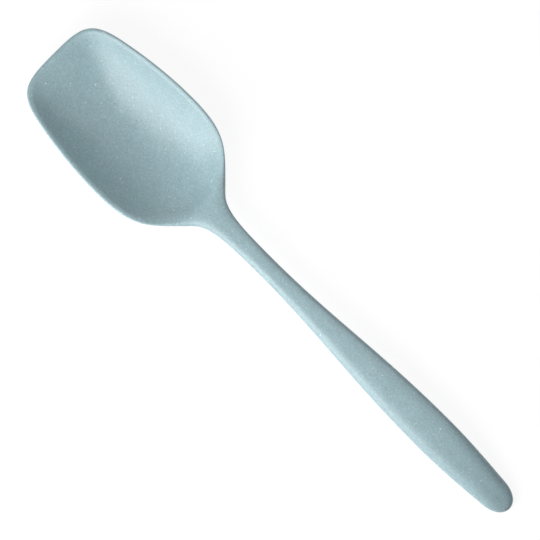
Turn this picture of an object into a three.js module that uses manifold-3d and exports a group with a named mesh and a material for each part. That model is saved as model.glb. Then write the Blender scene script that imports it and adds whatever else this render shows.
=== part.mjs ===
// A cooking spoon: one soft speckled skin, moulded round a stiff core of two nylon pieces and a steel rod.
// Millimetres. The spoon lies on z = 0 with its bowl open upwards, and its handle points to +X.
import * as THREE from 'three';
import { mergeVertices } from 'three/addons/utils/BufferGeometryUtils.js';
import Module from 'manifold-3d';

const wasm = await Module();
wasm.setup();

// Plan view. Places are measured from the tip, or from the handle's end where the name says so.
const LENGTH = 300;
const CHEEK_AT = 18; // the squared front has turned into the side of the bowl
const CHEEK_WIDTH = 54.3;
const BOWL_AT = 60; // the bowl is widest
const BOWL_WIDTH = 63;
const SHOULDER_AT = 94.5; // the outline runs in most steeply
const SHOULDER_WIDTH = 37.4;
const NECK_AT = 140; // the handle is narrowest
const NECK_WIDTH = 9.6;
const GRIP_FROM_END = 50; // the handle is widest
const GRIP_WIDTH = 19.1;
const HEEL_FROM_END = 10; // the handle turns into its round end
const HEEL_WIDTH = 14.8;
const FRONT_FLAT = 8; // the level middle stretch of the front edge

// Slopes of the outline where its curves meet, as width gained on one side over length.
const CHEEK_SLOPE = 0.2;
const SHOULDER_SLOPE = -1.1;
const HEEL_SLOPE = -0.085;

// How far each curve of the outline holds the direction of its ends, as shares of its length or end width.
const FRONT_HOLD = [0.65, 0.96];
const CHEEK_HOLD = [0.33, 0.33];
const BOWL_HOLD = [0.58, 0.23];
const SHOULDER_HOLD = [0.25, 0.725];
const NECK_HOLD = [0.36, 0.41];
const GRIP_HOLD = [0.35, 0.35];
const HEEL_HOLD = [0.55, 0.57];

// Side view. Heights are those of the middle of the bowl's wall, and of the line where the handle is widest.
const BOWL_DEPTH = 18; // from the rim down to the floor
const RIM_TILT = 1.3; // the rim is lower at the tip than where the bowl is widest
const TIP_DIP = 2.3; // the front edge dips below the rim between its corners
const FLOOR_AT = 42; // the bowl is deepest
const BACK_AT = 90; // the floor climbs to the neck
const BACK_HEIGHT = 9.2;
const ROOT_AT = 108; // the floor has reached the handle's line
const STEM_HEIGHT = 16.6;
const NECK_HEIGHT = 14.6;
const GRIP_HEIGHT = 10.5;
const FRONT_SLOPE = -0.54; // the floor at the tip
const BACK_SLOPE = 0.4;
const STEM_SLOPE = -0.06; // the handle's line
const NECK_SLOPE = -0.05;
const GRIP_SLOPE = -0.06;
const HEEL_FALL = -0.14;
const END_FALL = -0.15; // the upper side at the handle's end
const REST_FLAT = 0.35; // depth of the flats that the spoon lies on

// Thickness of the bowl's wall, and of the handle above and below the line where it is widest.
const BOWL_WALL = 4;
const RIM_THICKNESS = 2;
const THICKEN_AT = 75.5; // the wall starts to thicken towards the neck
const STEM_AT = 118; // the wall has turned into a stem
const STEM_ABOVE = 2.3;
const STEM_BELOW = 6.2;
const NECK_ABOVE = 3.4;
const NECK_BELOW = 5.2;
const GRIP_ABOVE = 3.7;
const GRIP_BELOW = 5.6;
const HEEL_ABOVE = 4.3;
const HEEL_BELOW = 4.2;
const END_ABOVE = 1.9;
const END_BELOW = 3.2;

// Form of the sections, as shares and powers.
const FRONT_POWER = 3.9; // flat floor and sharp sides near the tip
const BOWL_POWER = 2.3; // evenly hollowed
const BACK_POWER = 2.4;
const EVEN_AT = 41; // the first has changed into the second
const WALL_EASE = 0.05; // the sides ease off towards the rim
const WALL_POWER = 6; // the wall keeps its thickness until close to the rim
const EDGE_ROUND = 0.95; // share of the handle's half width that its round edges take
const EDGE_SQUARE = 2.7; // power of the handle's round edges, which is 2 for an ellipse

// Core.
const SKIN = 1; // over and under the core
const SIDE_SKIN = 1.5; // beside the core in the handle
const LIP = 6.5; // the bowl's edge is soft for this far
const GAP = 0.3; // between pieces that touch
const ROD_DIAMETER = 4;
const ROD_FLAT = 0.7; // depth of the flat on each end of the rod
const ROD_FLAT_LENGTH = 12;
const SOCKET_DEPTH = 18; // rod in the bowl's core
const GRIP_SOCKET_DEPTH = 48; // rod in the grip's core
const GRIP_CORE_LENGTH = 102; // from the handle's end
const LOCK_HOLE = 5; // holes that the skin grips through
const LOCK_ROWS = 5;
const LOCK_SHARE = 0.6; // place of the side holes between the middle line and the rim
const LOCK_FROM = 22;
const LOCK_TO = 82;
const SLOT_LENGTH = 12; // slots in the grip's core that the skin grips through
const SLOT_WIDTH = 5;
const SLOT_PITCH = 17;
const SLOT_COUNT = 2;
const PIN_HOLE = 2.4; // left under the handle by the pins that held the core in the mould

// Mesh: the longest step and the widest turn from rib to rib, and the rows on one side of the middle line.
const SKIN_MESH = { step: 12, turn: 0.2, inner: 6, edge: 4 };
const CORE_MESH = { step: 15, turn: 0.33, inner: 4, edge: 2 };
const FRONT_FAN = { near: 16, far: 34 }; // feet of the ribs that fan out to the tip
const END_FAN = { near: 4, far: 14 }; // feet of the ribs that fan out to the handle's end
const FAN_EASE = 0.25;
const OUTLINE_SAMPLES = 160;
const ROUND_SIDES = 12;
const ROD_STEPS = 10;
const FLAT_STEPS = 2;
const EDGE_ROWS = 0.6; // most of a rib that the close rows at the edge may take
const EDGE_MOST = 0.9; // most of a rib that its round edge may take
const NEAR = 1e-4; // share of a rib over which its direction is measured
const LEAST = 1e-3; // shortest length that counts

const { clamp, lerp, smoothstep } = THREE.MathUtils;
const GRIP_AT = LENGTH - GRIP_FROM_END;
const HEEL_AT = LENGTH - HEEL_FROM_END;
const STEM_END = ROOT_AT + SOCKET_DEPTH;
const GRIP_CORE_AT = LENGTH - GRIP_CORE_LENGTH;
const ROD_END = GRIP_CORE_AT + GRIP_SOCKET_DEPTH;
const toX = (s) => s - LENGTH / 2;

// A smooth line along the spoon through knots of place, height and slope.
function line(...knots) {
  return (s) => {
    let k = 0;
    while (k < knots.length - 2 && s > knots[k + 1][0]) k += 1;
    const [s0, h0, m0] = knots[k];
    const [s1, h1, m1] = knots[k + 1];
    const span = s1 - s0;
    const t = clamp((s - s0) / span, 0, 1);
    const rise = (3 - 2 * t) * t * t;
    const leave = t * (1 - t) * (1 - t);
    const arrive = t * t * (t - 1);
    return lerp(h0, h1, rise) + span * (leave * m0 + arrive * m1);
  };
}

function slopeOf(height, s) {
  const near = 0.01;
  const at = clamp(s, near, LENGTH - near);
  return (height(at + near) - height(at - near)) / (2 * near);
}

const FLOOR_HEIGHT = BOWL_WALL / 2 - REST_FLAT;
const RIM_HEIGHT = FLOOR_HEIGHT + BOWL_DEPTH;
const TIP_HEIGHT = RIM_HEIGHT - RIM_TILT;
const HEEL_HEIGHT = HEEL_BELOW - REST_FLAT;
const END_HEIGHT = END_BELOW - REST_FLAT;

// The middle of the rim, which runs on as the line where the handle is widest.
const spine = line(
  [0, TIP_HEIGHT, RIM_TILT / BOWL_AT],
  [BOWL_AT, RIM_HEIGHT, 0],
  [STEM_AT, STEM_HEIGHT, STEM_SLOPE],
  [NECK_AT, NECK_HEIGHT, NECK_SLOPE],
  [GRIP_AT, GRIP_HEIGHT, GRIP_SLOPE],
  [HEEL_AT, HEEL_HEIGHT, HEEL_FALL],
  [LENGTH, END_HEIGHT, HEEL_FALL],
);

// The lowest line of the bowl, which joins the spine at the root of the neck.
const hollow = line(
  [0, TIP_HEIGHT - TIP_DIP, FRONT_SLOPE],
  [FLOOR_AT, FLOOR_HEIGHT, 0],
  [BACK_AT, BACK_HEIGHT, BACK_SLOPE],
  [ROOT_AT, spine(ROOT_AT), slopeOf(spine, ROOT_AT)],
);
const keel = (s) => (s < ROOT_AT ? hollow(s) : spine(s));

// Thickness above and below the middle of the wall and the handle's line.
const above = line(
  [0, BOWL_WALL / 2, 0],
  [THICKEN_AT, BOWL_WALL / 2, 0],
  [STEM_AT, STEM_ABOVE, 0],
  [NECK_AT, NECK_ABOVE, 0],
  [GRIP_AT, GRIP_ABOVE, 0],
  [HEEL_AT, HEEL_ABOVE, HEEL_FALL],
  [LENGTH, END_ABOVE, END_FALL],
);
const below = line(
  [0, BOWL_WALL / 2, 0],
  [THICKEN_AT, BOWL_WALL / 2, 0],
  [STEM_AT, STEM_BELOW, 0],
  [NECK_AT, NECK_BELOW, 0],
  [GRIP_AT, GRIP_BELOW, 0],
  [HEEL_AT, HEEL_BELOW, HEEL_FALL],
  [LENGTH, END_BELOW, HEEL_FALL],
);

// The middle of the handle's thickness, where the rod lies.
const axis = (s) => spine(s) + (above(s) - below(s)) / 2;

// 0 along the thin rim of the bowl, 1 along the round edges of the handle.
const handleShare = (s) => smoothstep(s, THICKEN_AT, STEM_AT);

// One side of the plan outline, from the tip round to the handle's end.
function outlineCurves() {
  const at = (s, y) => new THREE.Vector2(s, y);
  const curve = (a, b, [leave, arrive]) => {
    const span = b.s - a.s;
    const p1 = at(a.s + leave * span, a.y + leave * span * a.slope);
    const p2 = at(b.s - arrive * span, b.y - arrive * span * b.slope);
    return new THREE.CubicBezierCurve(at(a.s, a.y), p1, p2, at(b.s, b.y));
  };
  const cheek = { s: CHEEK_AT, y: CHEEK_WIDTH / 2, slope: CHEEK_SLOPE };
  const widest = { s: BOWL_AT, y: BOWL_WIDTH / 2, slope: 0 };
  const shoulder = { s: SHOULDER_AT, y: SHOULDER_WIDTH / 2, slope: SHOULDER_SLOPE };
  const neck = { s: NECK_AT, y: NECK_WIDTH / 2, slope: 0 };
  const grip = { s: GRIP_AT, y: GRIP_WIDTH / 2, slope: 0 };
  const heel = { s: HEEL_AT, y: HEEL_WIDTH / 2, slope: HEEL_SLOPE };
  const front = curve({ s: 0, y: 0, slope: 0 }, cheek, FRONT_HOLD);
  front.v1.set(0, FRONT_HOLD[0] * cheek.y);
  const end = curve(heel, { s: LENGTH, y: 0, slope: 0 }, HEEL_HOLD);
  end.v2.set(LENGTH, HEEL_HOLD[1] * heel.y);
  return [
    front,
    curve(cheek, widest, CHEEK_HOLD),
    curve(widest, shoulder, BOWL_HOLD),
    curve(shoulder, neck, SHOULDER_HOLD),
    curve(neck, grip, NECK_HOLD),
    curve(grip, heel, GRIP_HOLD),
    end,
  ];
}

// The outline as close samples, each with its outward direction and the length of outline before it.
function outlineSamples() {
  const samples = [];
  let run = 0;
  for (const curve of outlineCurves()) {
    for (let i = samples.length ? 1 : 0; i <= OUTLINE_SAMPLES; i += 1) {
      const point = curve.getPoint(i / OUTLINE_SAMPLES);
      const along = curve.getTangent(i / OUTLINE_SAMPLES);
      const last = samples.at(-1);
      run += last ? point.distanceTo(last.point) : 0;
      samples.push({ point, outward: new THREE.Vector2(-along.y, along.x), run });
    }
  }
  return samples;
}

// How far from the end of the spoon a rib of a fan stands, when its tip is this share of the way round.
function fanFoot(fan, share, arc) {
  const span = fan.far - fan.near;
  const power = (arc / span - FAN_EASE) / (1 - FAN_EASE);
  return fan.near + span * (FAN_EASE * share + (1 - FAN_EASE) * share ** power);
}

// Ribs from the middle line out to the outline: square to it along the sides, fanned out at both ends.
function ribs(mesh) {
  const samples = outlineSamples();
  const total = samples.at(-1).run;
  const frontArc = samples.find((p) => p.point.x >= FRONT_FAN.far).run;
  const endArc = total - samples.find((p) => p.point.x >= LENGTH - END_FAN.far).run;
  const pace = [0];
  for (let i = 1; i < samples.length; i += 1) {
    const turn = Math.acos(clamp(samples[i].outward.dot(samples[i - 1].outward), -1, 1));
    pace.push(pace[i - 1] + (samples[i].run - samples[i - 1].run) / mesh.step + turn / mesh.turn);
  }
  const count = Math.ceil(pace.at(-1));
  const list = [];
  for (let k = 0; k <= count; k += 1) {
    const wanted = (pace.at(-1) * k) / count;
    const sample = samples[pace.findIndex((p) => p >= wanted - NEAR)];
    let foot = sample.point.x;
    if (sample.run < frontArc) {
      foot = fanFoot(FRONT_FAN, sample.run / frontArc, frontArc);
    } else if (total - sample.run < endArc) {
      foot = LENGTH - fanFoot(END_FAN, (total - sample.run) / endArc, endArc);
    }
    list.push(shapeRib(sample, foot));
  }
  return list;
}

// Adds to a rib the height and form of the wall at its tip, and the form of its edge.
function shapeRib({ point, outward }, foot) {
  const s = point.x;
  const corner = smoothstep(point.y, FRONT_FLAT / 2, CHEEK_WIDTH / 2);
  const wall = (spine(s) - keel(s)) * (s < CHEEK_AT ? corner : 1);
  const front = lerp(FRONT_POWER, BOWL_POWER, smoothstep(s, 0, EVEN_AT));
  const power = lerp(front, BACK_POWER, smoothstep(s, BOWL_AT, ROOT_AT));
  const across = new THREE.Vector2(s - foot, point.y);
  const reach = Math.max(across.dot(outward), LEAST);
  const round = lerp(RIM_THICKNESS / 2, EDGE_ROUND * reach, handleShare(s));
  const lean = Math.atan2((power - WALL_EASE) * wall + slopeOf(keel, s) * (s - foot), reach);
  const overhang = (RIM_THICKNESS / 2) * (1 - Math.cos(lean));
  const tip = point.clone().addScaledVector(outward, -overhang);
  return { tip, foot, wall, power, reach: reach / Math.cos(lean), plan: reach, round };
}

// A point on the middle of the wall, a share of the way out along a rib.
function middle(rib, share) {
  const s = lerp(rib.foot, rib.tip.x, share);
  const z = keel(s) + rib.wall * share ** rib.power * (1 + WALL_EASE * (1 - share));
  return new THREE.Vector3(toX(s), rib.tip.y * share, z);
}

// A closed body on the middle of the wall, set in from the spoon's edge and from its faces.
function body(mesh, edgeInset, faceInset) {
  const list = ribs(mesh);
  const last = list.length - 1;
  const sides = list.map((rib, i) => {
    const inset = edgeInset(rib.foot);
    const shares = rowShares(mesh, rib, inset);
    const upper = [];
    const lower = [];
    shares.forEach((share, j) => {
      const here = middle(rib, share);
      const out = middle(rib, share + NEAR).sub(here);
      const along = new THREE.Vector3(0, i === 0 ? 1 : -1, 0);
      if (i > 0 && i < last) along.copy(middle(list[i + 1], share)).sub(middle(list[i - 1], share));
      const up = along.cross(out);
      if (j === 0) up.setY(0);
      up.normalize();
      if (j === shares.length - 1) {
        upper.push(here);
        return;
      }
      const s = here.x + LENGTH / 2;
      const rise = sideAt(rib, above(s), s, share, inset, faceInset);
      const fall = sideAt(rib, below(s), s, share, inset, faceInset);
      upper.push(here.clone().addScaledVector(up, rise));
      lower.unshift(here.clone().addScaledVector(up, -fall));
    });
    return [...upper, ...lower];
  });
  return solid(sidesGeometry(sides));
}

// Shares along a rib for the rows of the mesh, closer together at the edge.
function rowShares(mesh, rib, inset) {
  const outer = 1 - inset / rib.plan;
  const bend = Math.min(rib.round / rib.reach, EDGE_ROWS) * outer;
  const shares = [];
  for (let j = 0; j < mesh.inner; j += 1) {
    shares.push((outer - bend) * (j / mesh.inner));
  }
  for (let j = 0; j <= mesh.edge; j += 1) {
    shares.push(outer - bend * (1 - Math.sin((j / mesh.edge) * (Math.PI / 2))));
  }
  return shares;
}

// Thickness of a body above or below its middle at a share of a rib: level inside, with a round edge.
function sideAt(rib, full, s, share, inset, faceInset) {
  const outer = 1 - inset / rib.plan;
  const edge = lerp(RIM_THICKNESS / 2, full, handleShare(s));
  const plate = lerp(full, edge, share ** WALL_POWER) - faceInset;
  const rounded = inset > 0 ? Math.max(rib.round - inset, plate) : rib.round;
  const bend = Math.min(rounded, EDGE_MOST * rib.reach * outer);
  const depth = Math.min(((outer - share) * rib.reach) / bend, 1);
  const power = lerp(2, EDGE_SQUARE, handleShare(s));
  return plate * (1 - (1 - depth) ** power) ** (1 / power);
}

// Joins the ribs' section lines into a closed surface, mirrored to the other side of the middle line.
function sidesGeometry(sides) {
  const width = sides[0].length;
  const position = [];
  const index = [];
  for (const flip of [false, true]) {
    const base = position.length / 3;
    for (const side of sides) {
      for (const p of side) position.push(p.x, flip ? -p.y : p.y, p.z);
    }
    for (let i = 0; i + 1 < sides.length; i += 1) {
      for (let j = 0; j + 1 < width; j += 1) {
        const a = base + i * width + j;
        const b = a + width;
        const quad = [a, b, a + 1, a + 1, b, b + 1];
        index.push(...(flip ? quad.reverse() : quad));
      }
    }
  }
  const geometry = new THREE.BufferGeometry();
  geometry.setAttribute('position', new THREE.Float32BufferAttribute(position, 3));
  geometry.setIndex(index);
  return geometry;
}

function solid(geometry) {
  const bare = geometry.clone();
  bare.deleteAttribute('normal');
  bare.deleteAttribute('uv');
  const merged = mergeVertices(bare, LEAST / 10);
  const vertProperties = new Float32Array(merged.attributes.position.array);
  const triVerts = new Uint32Array(merged.index.array);
  return new wasm.Manifold(new wasm.Mesh({ numProp: 3, vertProperties, triVerts }));
}

function block(s0, s1, width, z0, z1) {
  const box = new THREE.BoxGeometry(s1 - s0, width, z1 - z0);
  return solid(box.translate(toX((s0 + s1) / 2), 0, (z0 + z1) / 2));
}

// An upright round pin.
function pin(diameter, s, y, z0, z1) {
  const rod = new THREE.CylinderGeometry(diameter / 2, diameter / 2, z1 - z0, ROUND_SIDES);
  return solid(rod.rotateX(Math.PI / 2).translate(toX(s), y, (z0 + z1) / 2));
}

// An upright pin with a long round section.
function longPin(length, width, s, z0, z1) {
  const r = width / 2;
  const half = length / 2 - r;
  const shape = new THREE.Shape();
  shape.absarc(half, 0, r, -Math.PI / 2, Math.PI / 2);
  shape.absarc(-half, 0, r, Math.PI / 2, (3 * Math.PI) / 2);
  const bar = new THREE.ExtrudeGeometry(shape, {
    depth: z1 - z0,
    bevelEnabled: false,
    curveSegments: ROUND_SIDES / 2,
  });
  return solid(bar.translate(toX(s), 0, z0));
}

const TOP = RIM_HEIGHT + BOWL_DEPTH; // above all of it

class RodCurve extends THREE.Curve {
  constructor(from, to) {
    super();
    this.from = from;
    this.to = to;
  }

  getPoint(t) {
    const s = lerp(this.from, this.to, t);
    return new THREE.Vector3(toX(s), 0, axis(s));
  }
}

// A section swept along the rod's line, with the section's -y side upwards.
function sweep(section, from, to, steps) {
  const extrudePath = new RodCurve(from, to);
  return solid(new THREE.ExtrudeGeometry(section, { steps, curveSegments: ROUND_SIDES / 2, extrudePath }));
}

// The rod along the middle of the handle, with a flat on top of each end, or the space that it needs.
function rod(grow) {
  const from = ROOT_AT - grow;
  const to = ROD_END + grow;
  const round = new THREE.Shape();
  round.absarc(0, 0, ROD_DIAMETER / 2 + grow, 0, 2 * Math.PI);
  const level = ROD_DIAMETER / 2 - ROD_FLAT + grow;
  const corners = [[-1, -ROD_DIAMETER], [1, -ROD_DIAMETER], [1, -level], [-1, -level]];
  const flat = new THREE.Shape(corners.map(([side, y]) => new THREE.Vector2(side * ROD_DIAMETER, y)));
  return sweep(round, from, to, ROD_STEPS)
    .subtract(sweep(flat, from - GAP, ROOT_AT + ROD_FLAT_LENGTH - grow, FLAT_STEPS))
    .subtract(sweep(flat, ROD_END - ROD_FLAT_LENGTH + grow, to + GAP, FLAT_STEPS));
}

// What both core pieces are cut from: the spoon, set in by the skin.
function coreBlank(grow) {
  const soft = (s) => lerp(LIP, SIDE_SKIN, handleShare(s)) + GAP - grow;
  return body(CORE_MESH, soft, SKIN + GAP - grow);
}

// Places of the holes in the bowl's core: a row up the middle and a row up each side.
function lockHoles() {
  const places = [];
  const samples = outlineSamples();
  for (let k = 0; k < LOCK_ROWS; k += 1) {
    const s = lerp(LOCK_FROM, LOCK_TO, k / (LOCK_ROWS - 1));
    const half = samples.find((p) => p.point.x >= s).point.y;
    for (const side of [-1, 0, 1]) places.push([s, side * LOCK_SHARE * half]);
  }
  return places;
}

// The dished plate in the bowl with its stem, or the space that it needs.
function bowlCore(grow) {
  let core = coreBlank(grow).intersect(block(0, STEM_END + grow, BOWL_WIDTH, 0, TOP));
  for (const [s, y] of lockHoles()) {
    core = core.subtract(pin(LOCK_HOLE - 2 * grow, s, y, 0, TOP));
  }
  return core;
}

// The filler in the grip, or the space that it needs.
function gripCore(grow) {
  let core = coreBlank(grow).intersect(block(GRIP_CORE_AT - grow, LENGTH, GRIP_WIDTH, 0, TOP));
  for (const s of slotPlaces()) {
    core = core.subtract(longPin(SLOT_LENGTH - 2 * grow, SLOT_WIDTH - 2 * grow, s, 0, TOP));
  }
  return core;
}

// Middles of the slots, between the end of the rod and the end of the core.
function slotPlaces() {
  const first = ROD_END + SLOT_PITCH - SLOT_LENGTH / 2;
  return Array.from({ length: SLOT_COUNT }, (unused, k) => first + k * SLOT_PITCH);
}

// Under the stem, under the rod's place in the grip, and between the rod and the first slot.
const pinPlaces = [STEM_AT, GRIP_CORE_AT + GRIP_SOCKET_DEPTH / 3, slotPlaces()[0] - SLOT_PITCH / 2];

function siliconeBody() {
  const table = block(-GAP, LENGTH + GAP, BOWL_WIDTH, -TOP, 0);
  const space = bowlCore(GAP).add(gripCore(GAP)).add(rod(GAP));
  let skin = body(SKIN_MESH, () => 0, 0).subtract(table).subtract(space);
  for (const s of pinPlaces) {
    const top = axis(s) - ROD_DIAMETER / 2 - GAP;
    skin = skin.subtract(pin(PIN_HOLE, s, 0, -GAP, top));
  }
  return skin;
}

function mesh(name, manifold, look) {
  const { vertProperties, triVerts } = manifold.getMesh();
  const geometry = new THREE.BufferGeometry();
  geometry.setAttribute('position', new THREE.BufferAttribute(vertProperties, 3));
  geometry.setIndex(new THREE.BufferAttribute(triVerts, 1));
  geometry.computeVertexNormals();
  const part = new THREE.Mesh(geometry, new THREE.MeshStandardMaterial(look));
  part.name = name;
  return part;
}

const silicone = { color: 0x9fb9be, roughness: 0.55, metalness: 0 };
const nylon = { color: 0x3a3d40, roughness: 0.6, metalness: 0 };
const steel = { color: 0xb9bcc0, roughness: 0.35, metalness: 1 };

const spoon = new THREE.Group();
spoon.name = 'cooking_spoon';
spoon.add(
  mesh('silicone_body', siliconeBody(), silicone),
  mesh('bowl_core', bowlCore(0).subtract(rod(GAP)), nylon),
  mesh('grip_core', gripCore(0).subtract(rod(GAP)), nylon),
  mesh('spine_rod', rod(0), steel),
);

export default spoon;
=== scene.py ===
"""A speckled cooking spoon that lies bowl up on a white table. Metres, in the part's frame."""

import math

import bmesh
import bpy
import numpy as np
from mathutils import Matrix, Vector
from mathutils.bvhtree import BVHTree


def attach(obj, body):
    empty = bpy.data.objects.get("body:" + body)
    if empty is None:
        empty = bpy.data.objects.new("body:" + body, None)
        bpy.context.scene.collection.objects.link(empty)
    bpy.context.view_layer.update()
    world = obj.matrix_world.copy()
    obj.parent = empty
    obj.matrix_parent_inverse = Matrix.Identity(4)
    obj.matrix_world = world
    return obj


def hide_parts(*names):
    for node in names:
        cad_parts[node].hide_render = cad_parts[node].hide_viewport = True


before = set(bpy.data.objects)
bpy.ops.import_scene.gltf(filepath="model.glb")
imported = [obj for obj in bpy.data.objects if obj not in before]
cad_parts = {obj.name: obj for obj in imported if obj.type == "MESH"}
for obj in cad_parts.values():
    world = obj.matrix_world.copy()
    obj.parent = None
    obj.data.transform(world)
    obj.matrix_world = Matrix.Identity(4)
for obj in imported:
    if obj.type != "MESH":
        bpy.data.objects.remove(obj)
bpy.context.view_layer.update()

# Plan view of the skin: places along the spoon, from the tip or from the handle's end, and widths there.
LENGTH = 0.300
CHEEK_AT = 0.018
CHEEK_WIDTH = 0.0543
BOWL_AT = 0.060
BOWL_WIDTH = 0.063
SHOULDER_AT = 0.0942
SHOULDER_WIDTH = 0.0374
NECK_AT = 0.140
NECK_WIDTH = 0.0096
GRIP_FROM_END = 0.050
GRIP_WIDTH = 0.0193
HEEL_FROM_END = 0.010
HEEL_WIDTH = 0.0150
FRONT_FLAT = 0.008

# Slopes of the outline where its curves meet, and how far each curve keeps them at its two ends, as shares.
CHEEK_SLOPE = 0.2
SHOULDER_SLOPE = -1.1
HEEL_SLOPE = -0.085
FRONT_HOLD = (0.65, 0.96)
CHEEK_HOLD = (0.33, 0.33)
BOWL_HOLD = (0.58, 0.23)
SHOULDER_HOLD = (0.25, 0.725)
NECK_HOLD = (0.36, 0.41)
GRIP_HOLD = (0.35, 0.35)
HEEL_HOLD = (0.55, 0.57)

# Side view: heights of the middle of the bowl's wall, and of the line where the handle is widest.
BOWL_DEPTH = 0.018
RIM_TILT = 0.0013
TIP_DIP = 0.0023
FLOOR_AT = 0.042
BACK_AT = 0.090
BACK_HEIGHT = 0.0092
ROOT_AT = 0.108
STEM_HEIGHT = 0.0166
NECK_HEIGHT = 0.0146
GRIP_HEIGHT = 0.0105
FRONT_SLOPE = -0.54
BACK_SLOPE = 0.4
STEM_SLOPE = -0.06
NECK_SLOPE = -0.05
GRIP_SLOPE = -0.06
HEEL_FALL = -0.14
END_FALL = -0.15
REST_FLAT = 0.00035

# The soft edge across the handle's root, where the bowl's back wall ends: places, heights, slopes and bow.
LEDGE_FROM = 0.089
LEDGE_AT = 0.0997
LEDGE_TO = 0.109
LEDGE_TURN = 0.0022
LEDGE_RISE = 0.0011
LEDGE_TOP = 0.0012
LEDGE_SLOPE = 0.36
LEDGE_FALL = -0.22
LEDGE_BOW = 12

# Thickness of the bowl's wall, and of the handle above and below the line where it is widest.
BOWL_WALL = 0.004
RIM_ABOVE = 0.00125
RIM_BELOW = 0.00045
RIM_ROUND = 0.0024
THICKEN_AT = 0.0755
STEM_AT = 0.118
STEM_ABOVE = 0.0023
STEM_BELOW = 0.0062
NECK_ABOVE = 0.0034
NECK_BELOW = 0.0052
GRIP_ABOVE = 0.0037
GRIP_BELOW = 0.0056
HEEL_ABOVE = 0.0043
HEEL_BELOW = 0.0042
END_ABOVE = 0.0019
END_BELOW = 0.0032

# Form of the sections, as shares and powers.
FRONT_POWER = 3.9
BOWL_POWER = 2.3
BACK_POWER = 2.4
EVEN_AT = 0.041
WALL_EASE = 0.05
WALL_POWER = 6
EDGE_ROUND = 0.95
EDGE_SQUARE = 2.7

# Fineness of the skin's mesh: outline and turn between ribs, rows on a rib, and fans of ribs at both ends.
STEP = 0.0012
TURN = 0.035
INNER_ROWS = 26
EDGE_ROWS = 12
EDGE_ROWS_MOST = 0.6
EDGE_MOST = 0.9
FRONT_FAN = (0.016, 0.034)
END_FAN = (0.004, 0.014)
FAN_EASE = 0.25
OUTLINE_SAMPLES = 600
SHARP_ANGLE = math.radians(40)

# The space for the core: how near and how squarely a face looks at the core, and the cutters for the pins.
CORE_REACH = 0.0006
CORE_FACING = 0.25
PIN_SIDES = 48
PIN_LENGTH = 0.02
PIN_OVERLAP = 0.00002
TABLE_SIDE = 1.0

# Small steps and distances: for slopes, against rounding, and for joining points that coincide.
SLOPE_STEP = 1e-5
SHARE_STEP = 1e-4
PACE_SLACK = 1e-9
LEAST_PLAN = 1e-6
SKIN_WELD = 1e-7
SKIN_SLIVER = 1e-8
CORE_WELD = 1e-6

GRIP_AT = LENGTH - GRIP_FROM_END
HEEL_AT = LENGTH - HEEL_FROM_END


def line(*knots):
    """A smooth line along the spoon through knots of place, height and slope."""
    place, height, slope = np.array(knots, dtype=float).T

    def at(s):
        s = np.clip(s, place[0], place[-1])
        k = np.clip(np.searchsorted(place, s) - 1, 0, len(place) - 2)
        span = place[k + 1] - place[k]
        t = (s - place[k]) / span
        rise = (3 - 2 * t) * t * t
        bend = t * (1 - t) ** 2 * slope[k] + t * t * (t - 1) * slope[k + 1]
        return height[k] + (height[k + 1] - height[k]) * rise + span * bend

    return at


def slope_of(height, s):
    """How steeply a line along the spoon rises at a place."""
    at = np.clip(s, SLOPE_STEP, LENGTH - SLOPE_STEP)
    return (height(at + SLOPE_STEP) - height(at - SLOPE_STEP)) / (2 * SLOPE_STEP)


def smooth(x, low, high):
    """0 below the low value, 1 above the high one, and a soft step between."""
    t = np.clip((x - low) / (high - low), 0, 1)
    return t * t * (3 - 2 * t)


def mix(a, b, t):
    """A value between two others."""
    return a + (b - a) * t


FLOOR_HEIGHT = BOWL_WALL / 2 - REST_FLAT
RIM_HEIGHT = FLOOR_HEIGHT + BOWL_DEPTH
TIP_HEIGHT = RIM_HEIGHT - RIM_TILT
HEEL_HEIGHT = HEEL_BELOW - REST_FLAT
END_HEIGHT = END_BELOW - REST_FLAT

spine = line(
    (0, TIP_HEIGHT, RIM_TILT / BOWL_AT),
    (BOWL_AT, RIM_HEIGHT, 0),
    (STEM_AT, STEM_HEIGHT, STEM_SLOPE),
    (NECK_AT, NECK_HEIGHT, NECK_SLOPE),
    (GRIP_AT, GRIP_HEIGHT, GRIP_SLOPE),
    (HEEL_AT, HEEL_HEIGHT, HEEL_FALL),
    (LENGTH, END_HEIGHT, HEEL_FALL),
)
hollow = line(
    (0, TIP_HEIGHT - TIP_DIP, FRONT_SLOPE),
    (FLOOR_AT, FLOOR_HEIGHT, 0),
    (BACK_AT, BACK_HEIGHT, BACK_SLOPE),
    (ROOT_AT, spine(ROOT_AT), slope_of(spine, ROOT_AT)),
)
above = line(
    (0, BOWL_WALL / 2, 0),
    (THICKEN_AT, BOWL_WALL / 2, 0),
    (STEM_AT, STEM_ABOVE, 0),
    (NECK_AT, NECK_ABOVE, 0),
    (GRIP_AT, GRIP_ABOVE, 0),
    (HEEL_AT, HEEL_ABOVE, HEEL_FALL),
    (LENGTH, END_ABOVE, END_FALL),
)
ledge = line(
    (0, 0, 0),
    (LEDGE_FROM, 0, 0),
    (LEDGE_AT - LEDGE_TURN / 2, LEDGE_RISE, LEDGE_SLOPE),
    (LEDGE_AT + LEDGE_TURN / 2, LEDGE_TOP, LEDGE_FALL),
    (LEDGE_TO, 0, 0),
    (LENGTH, 0, 0),
)
below = line(
    (0, BOWL_WALL / 2, 0),
    (THICKEN_AT, BOWL_WALL / 2, 0),
    (STEM_AT, STEM_BELOW, 0),
    (NECK_AT, NECK_BELOW, 0),
    (GRIP_AT, GRIP_BELOW, 0),
    (HEEL_AT, HEEL_BELOW, HEEL_FALL),
    (LENGTH, END_BELOW, HEEL_FALL),
)


def keel(s):
    """The lowest line of the bowl, which runs on as the middle line of the handle."""
    return np.where(s < ROOT_AT, hollow(s), spine(s))


def handle_share(s):
    """0 along the thin rim of the bowl, 1 along the round edges of the handle."""
    return smooth(s, THICKEN_AT, STEM_AT)


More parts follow.
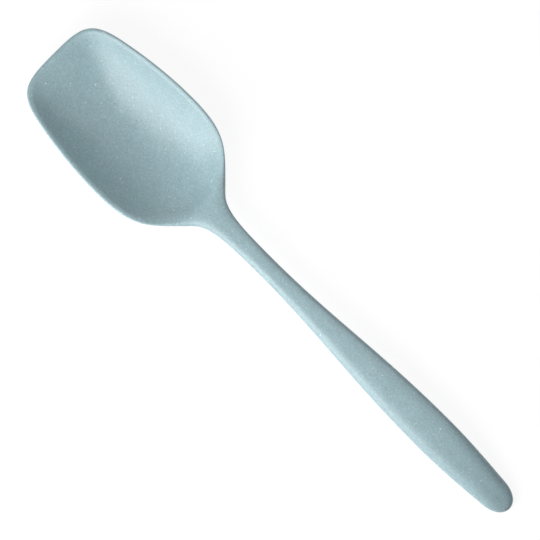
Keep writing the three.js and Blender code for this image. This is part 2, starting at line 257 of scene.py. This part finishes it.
def outline_curves():
    """Control points of one side of the plan outline, from the tip round to the handle's end."""
    joints = [
        (0, 0, 0),
        (CHEEK_AT, CHEEK_WIDTH / 2, CHEEK_SLOPE),
        (BOWL_AT, BOWL_WIDTH / 2, 0),
        (SHOULDER_AT, SHOULDER_WIDTH / 2, SHOULDER_SLOPE),
        (NECK_AT, NECK_WIDTH / 2, 0),
        (GRIP_AT, GRIP_WIDTH / 2, 0),
        (HEEL_AT, HEEL_WIDTH / 2, HEEL_SLOPE),
        (LENGTH, 0, 0),
    ]
    holds = [FRONT_HOLD, CHEEK_HOLD, BOWL_HOLD, SHOULDER_HOLD, NECK_HOLD, GRIP_HOLD, HEEL_HOLD]
    curves = []
    for a, b, (leave, arrive) in zip(joints, joints[1:], holds):
        span = b[0] - a[0]
        first = (a[0] + leave * span, a[1] + leave * span * a[2])
        second = (b[0] - arrive * span, b[1] - arrive * span * b[2])
        curves.append(np.array([a[:2], first, second, b[:2]], dtype=float))
    curves[0][1] = (0, FRONT_HOLD[0] * CHEEK_WIDTH / 2)
    curves[-1][2] = (LENGTH, HEEL_HOLD[1] * HEEL_WIDTH / 2)
    return curves


def outline():
    """Close samples of the outline: points, outward directions and the length of outline before each."""
    t = np.linspace(0, 1, OUTLINE_SAMPLES + 1)[:, None]
    points, alongs = [], []
    for k, (a, b, c, d) in enumerate(outline_curves()):
        place = (1 - t) ** 3 * a + 3 * (1 - t) ** 2 * t * b + 3 * (1 - t) * t * t * c + t ** 3 * d
        along = (1 - t) ** 2 * (b - a) + 2 * (1 - t) * t * (c - b) + t * t * (d - c)
        first = 0 if k == 0 else 1
        points.append(place[first:])
        alongs.append(along[first:])
    point = np.concatenate(points)
    along = np.concatenate(alongs)
    along /= np.linalg.norm(along, axis=1)[:, None]
    run = np.concatenate([[0], np.cumsum(np.linalg.norm(np.diff(point, axis=0), axis=1))])
    return point, np.stack([-along[:, 1], along[:, 0]], axis=1), run


def fan_foot(fan, share, arc):
    """How far from the spoon's end a rib of a fan stands, when its tip is this share of the way round."""
    near, far = fan
    power = (arc / (far - near) - FAN_EASE) / (1 - FAN_EASE)
    return near + (far - near) * (FAN_EASE * share + (1 - FAN_EASE) * share ** power)


def ribs():
    """Ribs from the middle line out to the outline, with the wall's height and form at each."""
    point, outward, run = outline()
    turn = np.arccos(np.clip(np.sum(outward[1:] * outward[:-1], axis=1), -1, 1))
    pace = np.concatenate([[0], np.cumsum(np.diff(run) / STEP + turn / TURN)])
    wanted = np.linspace(0, pace[-1], math.ceil(pace[-1]) + 1)
    pick = np.clip(np.searchsorted(pace, wanted - PACE_SLACK), 0, len(pace) - 1)
    front_arc = run[np.argmax(point[:, 0] >= FRONT_FAN[1])]
    end_arc = run[-1] - run[np.argmax(point[:, 0] >= LENGTH - END_FAN[1])]
    point, outward, run, total = point[pick], outward[pick], run[pick], run[-1]
    s = point[:, 0]
    foot = np.where(run < front_arc, fan_foot(FRONT_FAN, np.minimum(run / front_arc, 1), front_arc), s)
    left = total - run
    foot = np.where(left < end_arc, LENGTH - fan_foot(END_FAN, np.minimum(left / end_arc, 1), end_arc), foot)
    corner = np.where(s < CHEEK_AT, smooth(point[:, 1], FRONT_FLAT / 2, CHEEK_WIDTH / 2), 1)
    wall = (spine(s) - keel(s)) * corner
    power = mix(FRONT_POWER, BOWL_POWER, smooth(s, 0, EVEN_AT))
    power = mix(power, BACK_POWER, smooth(s, BOWL_AT, ROOT_AT))
    plan = np.maximum((s - foot) * outward[:, 0] + point[:, 1] * outward[:, 1], LEAST_PLAN)
    lean = np.arctan2((power - WALL_EASE) * wall + slope_of(keel, s) * (s - foot), plan)
    tip = point - outward * (RIM_BELOW * (1 - np.cos(lean)))[:, None]
    reach = plan / np.cos(lean)
    round_above = mix(RIM_ROUND, EDGE_ROUND * plan, handle_share(s))
    round_below = mix(RIM_BELOW, EDGE_ROUND * plan, handle_share(s))
    return {
        "tip": tip,
        "foot": foot,
        "wall": wall,
        "power": power,
        "reach": reach,
        "above": np.minimum(round_above, EDGE_MOST * reach),
        "below": np.minimum(round_below, EDGE_MOST * reach),
    }


def middle(rib, share):
    """Points on the middle of the wall, shares of the way out along each rib."""
    s = mix(rib["foot"][:, None], rib["tip"][:, :1], share)
    y = rib["tip"][:, 1:] * share
    rise = share ** rib["power"][:, None] * (1 + WALL_EASE * (1 - share))
    z = keel(s) + rib["wall"][:, None] * rise
    return np.stack([s, y, z], axis=2)


def row_shares(rib):
    """Shares along each rib for the rows of the mesh, closer together at the edge."""
    bend = np.minimum(rib["above"] / rib["reach"], EDGE_ROWS_MOST)[:, None]
    inner = (1 - bend) * np.arange(INNER_ROWS) / INNER_ROWS
    edge = 1 - bend * (1 - np.sin(np.arange(EDGE_ROWS + 1) / EDGE_ROWS * math.pi / 2))
    return np.concatenate([inner, edge], axis=1)


def side_at(rib, s, share, side, full, rim):
    """The skin's thickness above or below its middle: level inside, with a round edge."""
    plate = mix(full, mix(rim, full, handle_share(s)), share ** WALL_POWER)
    depth = np.clip((1 - share) * (rib["reach"] / rib[side])[:, None], 0, 1)
    power = mix(2, EDGE_SQUARE, handle_share(s))
    return plate * (1 - (1 - depth) ** power) ** (1 / power)


def section_lines():
    """For each rib, points of the skin's outside from the top middle round the edge to the bottom middle."""
    rib = ribs()
    share = row_shares(rib)
    here = middle(rib, share)
    out = middle(rib, share + SHARE_STEP) - here
    along = np.empty_like(here)
    after = {key: value[2:] for key, value in rib.items()}
    before = {key: value[:-2] for key, value in rib.items()}
    along[1:-1] = middle(after, share[1:-1]) - middle(before, share[1:-1])
    along[0] = (0, 1, 0)
    along[-1] = (0, -1, 0)
    up = np.cross(along, out)
    up[:, 0, 1] = 0
    up /= np.linalg.norm(up, axis=2)[:, :, None]
    s = here[:, :, 0]
    upper = here + up * side_at(rib, s, share, "above", above(s), RIM_ABOVE)[:, :, None]
    upper[:, :, 2] += ledge(s + LEDGE_BOW * here[:, :, 1] ** 2) * (1 - share ** rib["power"][:, None])
    lower = here - up * side_at(rib, s, share, "below", below(s), RIM_BELOW)[:, :, None]
    return np.concatenate([upper, lower[:, -2::-1]], axis=1)


def skin_outside():
    """The skin's closed outside as a mesh, both halves joined along the middle line."""
    lines = section_lines()
    lines[:, :, 0] -= LENGTH / 2
    count, width = lines.shape[:2]
    corner = (np.arange(count - 1)[:, None] * width + np.arange(width - 1)).ravel()
    quads = np.stack([corner, corner + width, corner + width + 1, corner + 1], axis=1)
    left = lines.reshape(-1, 3)
    right = left * (1, -1, 1)
    faces = np.concatenate([quads, quads[:, ::-1] + len(left)])
    mesh = bpy.data.meshes.new("silicone_skin")
    mesh.from_pydata(np.concatenate([left, right]).tolist(), [], faces.tolist())
    work = bmesh.new()
    work.from_mesh(mesh)
    bmesh.ops.remove_doubles(work, verts=work.verts, dist=SKIN_WELD)
    bmesh.ops.dissolve_degenerate(work, dist=SKIN_SLIVER, edges=work.edges)
    bmesh.ops.recalc_face_normals(work, faces=work.faces)
    work.to_mesh(mesh)
    work.free()
    return mesh


def add_object(name, mesh):
    """An object in the scene that shows a mesh."""
    piece = bpy.data.objects.new(name, mesh)
    bpy.context.scene.collection.objects.link(piece)
    return piece


def faces_core(face, trees):
    """True for a face of the skin that lies against a core piece."""
    centre = face.calc_center_median()
    place, _, _, distance = min((tree.find_nearest(centre) for tree in trees), key=lambda hit: hit[3])
    return distance < CORE_REACH and (place - centre).dot(face.normal) > distance * CORE_FACING


def core_space():
    """The space inside the CAD skin, closed where the mould's pins came through, and those pins."""
    trees = []
    for name in ("bowl_core", "grip_core", "spine_rod"):
        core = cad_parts[name].data
        corners = [v.co for v in core.vertices]
        trees.append(BVHTree.FromPolygons(corners, [p.vertices[:] for p in core.polygons]))
    work = bmesh.new()
    work.from_mesh(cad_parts["silicone_body"].data)
    bmesh.ops.remove_doubles(work, verts=work.verts, dist=CORE_WELD)
    outer = [f for f in work.faces if not faces_core(f, trees)]
    bmesh.ops.delete(work, geom=outer, context="FACES")
    loose = [v for v in work.verts if not v.link_faces]
    bmesh.ops.delete(work, geom=loose, context="VERTS")
    rims = [e for e in work.edges if e.is_boundary]
    filled = bmesh.ops.holes_fill(work, edges=rims, sides=0)["faces"]
    pins = [f.calc_center_median().copy() for f in filled]
    sizes = [max((v.co - c).length for v in f.verts) for f, c in zip(filled, pins)]
    bmesh.ops.triangulate(work, faces=filled)
    bmesh.ops.recalc_face_normals(work, faces=work.faces)
    mesh = bpy.data.meshes.new("core_space")
    work.to_mesh(mesh)
    work.free()
    return add_object("core_space", mesh), list(zip(pins, sizes))


def pin_mesh(centre, radius):
    """A mould pin that comes up from below and ends just inside the space for the core."""
    work = bmesh.new()
    sizes = {"segments": PIN_SIDES, "radius1": radius, "radius2": radius, "depth": PIN_LENGTH}
    bmesh.ops.create_cone(work, cap_ends=True, **sizes)
    height = centre.z - PIN_LENGTH / 2 + PIN_OVERLAP
    bmesh.ops.translate(work, verts=work.verts, vec=(centre.x, 0, height))
    mesh = bpy.data.meshes.new("pin")
    work.to_mesh(mesh)
    work.free()
    return mesh


def subtract(piece, cutter):
    """Cuts one object out of another and removes the cutter."""
    cut = piece.modifiers.new("cut", "BOOLEAN")
    cut.operation = "DIFFERENCE"
    cut.solver = "MANIFOLD"
    cut.object = cutter
    bpy.context.view_layer.update()
    evaluated = piece.evaluated_get(bpy.context.evaluated_depsgraph_get())
    result = bpy.data.meshes.new_from_object(evaluated)
    piece.modifiers.clear()
    piece.data = result
    bpy.data.objects.remove(cutter)


def table_block():
    """Everything under the table, to cut the flats that the spoon lies on."""
    work = bmesh.new()
    bmesh.ops.create_cube(work, size=TABLE_SIDE)
    bmesh.ops.translate(work, verts=work.verts, vec=(0, 0, -TABLE_SIDE / 2))
    mesh = bpy.data.meshes.new("table")
    work.to_mesh(mesh)
    work.free()
    return add_object("table", mesh)


def new_material(name):
    """A material with no nodes yet, and its node tree."""
    material = bpy.data.materials.new(name)
    material.use_nodes = True
    material.node_tree.nodes.clear()
    return material, material.node_tree


def add_node(tree, kind, inputs, **settings):
    """A node with its settings and its inputs: a number or colour, or the output socket that feeds it."""
    node = tree.nodes.new("ShaderNode" + kind)
    for name, value in settings.items():
        setattr(node, name, value)
    for name, value in inputs.items():
        if isinstance(value, bpy.types.NodeSocket):
            tree.links.new(value, node.inputs[name])
        else:
            node.inputs[name].default_value = value
    return node


def math_node(tree, operation, first, second=0.0, third=0.0, clamp=False):
    """The result of a sum on up to three numbers or sockets."""
    node = add_node(tree, "Math", {0: first, 1: second, 2: third}, operation=operation, use_clamp=clamp)
    return node.outputs[0]


def blend_node(tree, share, first, second):
    """A colour between two colours."""
    node = add_node(tree, "MixRGB", {"Fac": share, "Color1": first, "Color2": second})
    return node.outputs["Color"]


def noise_node(tree, place, grain, detail=2.0):
    """Soft noise whose lumps are about this large."""
    node = add_node(tree, "TexNoise", {"Vector": place, "Scale": 1 / grain, "Detail": detail})
    return node.outputs["Fac"]


def stretch_node(tree, place, factors):
    """Places scaled along each axis, so that a pattern on them is drawn out."""
    return add_node(tree, "Mapping", {"Vector": place, "Scale": factors}).outputs["Vector"]


def object_place(tree):
    """The place on the piece, in its own metres."""
    return add_node(tree, "TexCoord", {}).outputs["Object"]


def bump_node(tree, height, depth):
    """A surface direction that makes a pattern stand up by this depth."""
    node = add_node(tree, "Bump", {"Height": height, "Strength": 1.0, "Distance": depth})
    return node.outputs["Normal"]


def finish_material(tree, inputs):
    """The surface shader and the output of a material."""
    shader = add_node(tree, "BsdfPrincipled", inputs)
    add_node(tree, "OutputMaterial", {"Surface": shader.outputs["BSDF"]})


# The silicone: its colours, its cloudiness in two sizes, its grain and its gloss.
SILICONE_DEEP = (0.232, 0.334, 0.362, 1)
SILICONE_PALE = (0.451, 0.648, 0.702, 1)
MOTTLE = 0.006
MOTTLE_SHARE = 0.27
FLECK = 0.0009
FLECK_SHARE = 0.73
GRAIN = 0.00022
GRAIN_DEPTH = 0.000004
SILICONE_ROUGH = 0.36
SILICONE_GRAIN_ROUGH = 0.08
SILICONE_IOR = 1.6

# Its specks, laid one kind over the other: colour, strength, size of the cells that hold one each, radius of
# the largest, and rarity, which leaves fewer large ones where it is higher.
SPECK_PALE = (0.71, 0.82, 0.84, 1)
SPECK_DARK = (0.13, 0.17, 0.18, 1)
SPECK_KINDS = (
    (SPECK_DARK, 0.8, 0.0018, 0.00025, 2),
    (SPECK_PALE, 0.25, 0.0007, 0.00032, 1),
    (SPECK_PALE, 0.6, 0.0013, 0.0003, 1),
    (SPECK_PALE, 1.0, 0.0028, 0.0004, 2),
)
SPECK_BLUR = 0.00005


def specks(tree, place, cell, largest, rarity):
    """1 inside small round specks, one in each cell of a solid pattern."""
    cells = add_node(tree, "TexVoronoi", {"Vector": place, "Scale": 1 / cell})
    luck = add_node(tree, "SeparateColor", {"Color": cells.outputs["Color"]}).outputs["Red"]
    radius = math_node(tree, "MULTIPLY", math_node(tree, "POWER", luck, rarity), largest / cell)
    depth = math_node(tree, "SUBTRACT", radius, cells.outputs["Distance"])
    return math_node(tree, "MULTIPLY", depth, cell / SPECK_BLUR, clamp=True)


def silicone_material():
    """Soft satin silicone with pale specks of several sizes, a few dark ones and a faint cloudiness."""
    material, tree = new_material("speckled_silicone")
    place = object_place(tree)
    mottle = math_node(tree, "MULTIPLY", noise_node(tree, place, MOTTLE), MOTTLE_SHARE)
    cloud = math_node(tree, "MULTIPLY_ADD", noise_node(tree, place, FLECK), FLECK_SHARE, mottle)
    colour = blend_node(tree, cloud, SILICONE_DEEP, SILICONE_PALE)
    for speck_colour, strength, cell, largest, rarity in SPECK_KINDS:
        speck = math_node(tree, "MULTIPLY", specks(tree, place, cell, largest, rarity), strength)
        colour = blend_node(tree, speck, colour, speck_colour)
    grain = noise_node(tree, place, GRAIN)
    finish_material(tree, {
        "Base Color": colour,
        "Roughness": math_node(tree, "MULTIPLY_ADD", grain, SILICONE_GRAIN_ROUGH, SILICONE_ROUGH),
        "IOR": SILICONE_IOR,
        "Normal": bump_node(tree, grain, GRAIN_DEPTH),
    })
    return material


# The core's nylon: its colours, its streaks of fibre and its dullness.
NYLON_DEEP = (0.040, 0.044, 0.048, 1)
NYLON_PALE = (0.075, 0.080, 0.086, 1)
FIBRE = 0.00025
FIBRE_STRETCH = (0.12, 1, 1)
FIBRE_DETAIL = 4.0
FIBRE_DEPTH = 0.00001
NYLON_ROUGH = 0.45
NYLON_STREAK_ROUGH = 0.25


def nylon_material():
    """Dark glass-filled nylon: short fibres that lie along the flow leave a streaky, dull surface."""
    material, tree = new_material("core_nylon")
    place = stretch_node(tree, object_place(tree), FIBRE_STRETCH)
    streaks = noise_node(tree, place, FIBRE, FIBRE_DETAIL)
    finish_material(tree, {
        "Base Color": blend_node(tree, streaks, NYLON_DEEP, NYLON_PALE),
        "Roughness": math_node(tree, "MULTIPLY_ADD", streaks, NYLON_STREAK_ROUGH, NYLON_ROUGH),
        "Normal": bump_node(tree, streaks, FIBRE_DEPTH),
    })
    return material


# The rod's steel: its colours, the lines along it and its gloss.
STEEL_DEEP = (0.52, 0.53, 0.55, 1)
STEEL_PALE = (0.66, 0.67, 0.69, 1)
DRAWN_LINE = 0.00015
DRAWN_STRETCH = (0.01, 1, 1)
DRAWN_DETAIL = 3.0
DRAWN_DEPTH = 0.000004
STEEL_ROUGH = 0.22
STEEL_LINE_ROUGH = 0.2


def steel_material():
    """Stainless wire with the fine lines that the drawing die leaves along it."""
    material, tree = new_material("rod_steel")
    place = stretch_node(tree, object_place(tree), DRAWN_STRETCH)
    lines = noise_node(tree, place, DRAWN_LINE, DRAWN_DETAIL)
    finish_material(tree, {
        "Base Color": blend_node(tree, lines, STEEL_DEEP, STEEL_PALE),
        "Metallic": 1.0,
        "Roughness": math_node(tree, "MULTIPLY_ADD", lines, STEEL_LINE_ROUGH, STEEL_ROUGH),
        "Normal": bump_node(tree, lines, DRAWN_DEPTH),
    })
    return material


def dress_core():
    """Materials for the pieces inside, which keep their CAD shapes."""
    nylon = nylon_material()
    materials = {"bowl_core": nylon, "grip_core": nylon, "spine_rod": steel_material()}
    for name, material in materials.items():
        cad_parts[name].material_slots[0].material = material


def make_skin():
    """The skin: the closed outside, cut flat where it lies, less the space for the core and its pins."""
    piece = add_object("silicone_skin", skin_outside())
    subtract(piece, table_block())
    space, pins = core_space()
    subtract(piece, space)
    for centre, radius in pins:
        subtract(piece, add_object("pin", pin_mesh(centre, radius)))
    piece.data.materials.clear()
    piece.data.materials.append(silicone_material())
    piece.data.shade_smooth()
    piece.data.set_sharp_from_angle(angle=SHARP_ANGLE)
    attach(piece, "root")
    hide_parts("silicone_body")


# The picture: its side, and where the spoon's tip and its handle's end lie in it, in pixels.
PICTURE = 540
TIP_PIXEL = Vector((52.87, 54.25))
END_PIXEL = Vector((509.29, 508.72))
CAMERA_HEIGHT = 6.0
CAMERA_REACH = 20.0
SENSOR = 36.0


def make_camera():
    """A camera straight above, far away, that puts both ends of the spoon where the photograph has them."""
    middle_pixel = Vector((PICTURE / 2, PICTURE / 2))
    tip = (TIP_PIXEL - middle_pixel) * (CAMERA_HEIGHT - TIP_HEIGHT + TIP_DIP)
    end = (END_PIXEL - middle_pixel) * (CAMERA_HEIGHT - END_HEIGHT)
    along = end - tip
    turn = math.atan2(along.y, along.x)
    scale = LENGTH / along.length
    right = Vector((math.cos(turn), math.sin(turn)))
    down = Vector((math.sin(turn), -math.cos(turn)))
    place = Vector((-LENGTH / 2, 0)) - (right * tip.x + down * tip.y) * scale
    data = bpy.data.cameras.new("camera")
    data.sensor_width = SENSOR
    data.lens = SENSOR / (PICTURE * scale)
    data.clip_end = CAMERA_REACH
    camera = bpy.data.objects.new("camera", data)
    camera.location = (place.x, place.y, CAMERA_HEIGHT)
    camera.rotation_euler = (0, 0, turn)
    bpy.context.scene.collection.objects.link(camera)
    bpy.context.scene.camera = camera


# The floor: its reach, how far it lies below the flats, its grey, and the shadow's share of the white.
FLOOR_REACH = 6.0
FLOOR_DROP = 0.0001
FLOOR_GREY = (0.45, 0.45, 0.45, 1)
SHADOW_GREY = (0.15, 0.15, 0.15, 1)
FLOOR_GLOW = 0.9


def floor_material():
    """White with the spoon's shadow to the camera and in reflections, and plain grey to other light."""
    material, tree = new_material("floor")
    path = add_node(tree, "LightPath", {})
    seen = math_node(tree, "MAXIMUM", path.outputs["Is Camera Ray"], path.outputs["Is Glossy Ray"])
    plain = add_node(tree, "BsdfDiffuse", {"Color": FLOOR_GREY})
    shadow = add_node(tree, "BsdfDiffuse", {"Color": SHADOW_GREY})
    glow = add_node(tree, "Emission", {"Strength": FLOOR_GLOW})
    white = add_node(tree, "AddShader", {0: shadow.outputs[0], 1: glow.outputs[0]})
    floor = add_node(tree, "MixShader", {0: seen, 1: plain.outputs[0], 2: white.outputs[0]})
    add_node(tree, "OutputMaterial", {"Surface": floor.outputs[0]})
    return material


def make_floor():
    """The white table that the spoon lies on."""
    mesh = bpy.data.meshes.new("floor")
    signs = ((-1, -1), (1, -1), (1, 1), (-1, 1))
    corners = [(x * FLOOR_REACH, y * FLOOR_REACH, -FLOOR_DROP) for x, y in signs]
    mesh.from_pydata(corners, [], [(0, 1, 2, 3)])
    floor = add_object("floor", mesh)
    mesh.materials.append(floor_material())


# The soft boxes: degrees round from +X towards +Y and up from the table, distance from the spoon, width and
# height, watts, and shift along the spoon. The room's own light is dim.
KEY_BOX = (0.4, 0.25)
LAMPS = {
    "key_low": ((230, 20), 0.55, KEY_BOX, 1.266, 0.2),
    "key_high": ((230, 50), 0.55, KEY_BOX, 0.852, 0.2),
    "side_low": ((255, 20), 0.55, KEY_BOX, 0.600, 0.2),
    "side_high": ((255, 50), 0.55, KEY_BOX, 0.978, 0.2),
    "fill_bowl": ((150, 15), 0.6, (0.4, 0.4), 0.582, 0.0),
    "fill_handle": ((120, 45), 0.5, (0.3, 0.3), 0.414, 0.2),
}
ROOM_COLOUR = (1, 1, 1, 1)
ROOM_LIGHT = 0.09


def direction(azimuth, elevation):
    """Unit vector to a place in the sky."""
    turn, rise = math.radians(azimuth), math.radians(elevation)
    return Vector((math.cos(rise) * math.cos(turn), math.cos(rise) * math.sin(turn), math.sin(rise)))


def add_lamp(name, place, distance, size, watts, shift):
    """A soft box turned to the spoon's middle, then moved along the spoon."""
    data = bpy.data.lights.new(name, "AREA")
    data.shape = "RECTANGLE"
    data.size, data.size_y = size
    data.energy = watts
    back = direction(*place)
    right = (Vector((1, 0, 0)) - back * back.x).normalized()
    lamp = bpy.data.objects.new(name, data)
    lamp.location = back * distance + Vector((shift, 0, 0))
    lamp.rotation_euler = Matrix((right, back.cross(right), back)).transposed().to_euler()
    bpy.context.scene.collection.objects.link(lamp)


def make_light():
    """Soft boxes on one side, nearer the handle, two weak ones opposite, and a dim white room."""
    world = bpy.data.worlds.new("studio")
    bpy.context.scene.world = world
    world.use_nodes = True
    room = world.node_tree.nodes["Background"].inputs
    room["Color"].default_value = ROOM_COLOUR
    room["Strength"].default_value = ROOM_LIGHT
    for name, lamp in LAMPS.items():
        add_lamp(name, *lamp)


make_camera()
make_skin()
dress_core()
make_floor()
make_light()
bpy.context.scene.view_settings.view_transform = "Standard"
